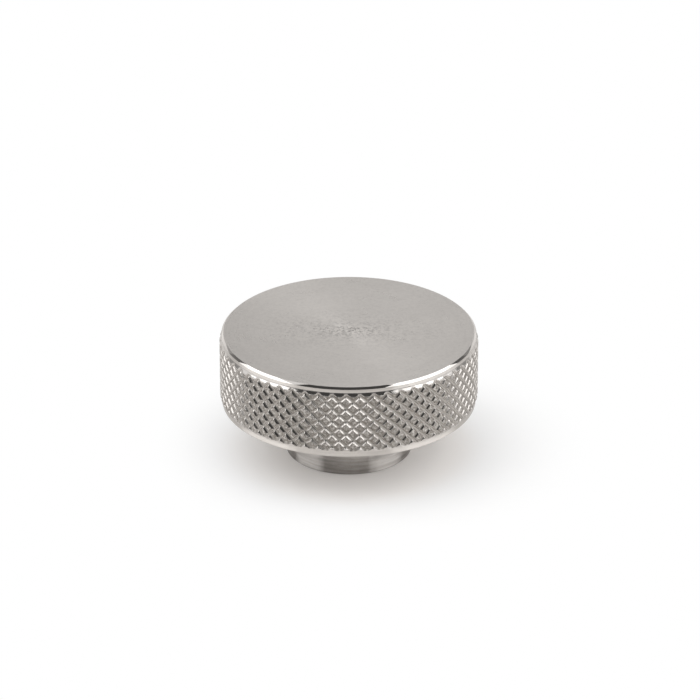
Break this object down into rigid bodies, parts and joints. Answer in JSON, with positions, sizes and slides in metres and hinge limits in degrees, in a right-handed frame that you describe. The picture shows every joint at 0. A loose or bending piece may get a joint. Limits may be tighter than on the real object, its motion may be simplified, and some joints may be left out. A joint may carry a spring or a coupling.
{
  "type": "cabinet knob",
  "caption": "Round turned steel cabinet knob: flat disc head with a diamond-knurled rim, on a narrower boss with a blind tapped hole underneath.",
  "frame": {"origin": "centre of the boss's face that sits on the door", "axes": "+Z away from the door along the knob's axis, -Y towards the viewer of the picture"},
  "size_m": [0.032, 0.032, 0.016],
  "materials": {
    "steel": "turned and satin polished, with fine circular tool marks and bright chamfers"
  },
  "bodies": {
    "root": {"knob": "steel"}
  },
  "joints": []
}
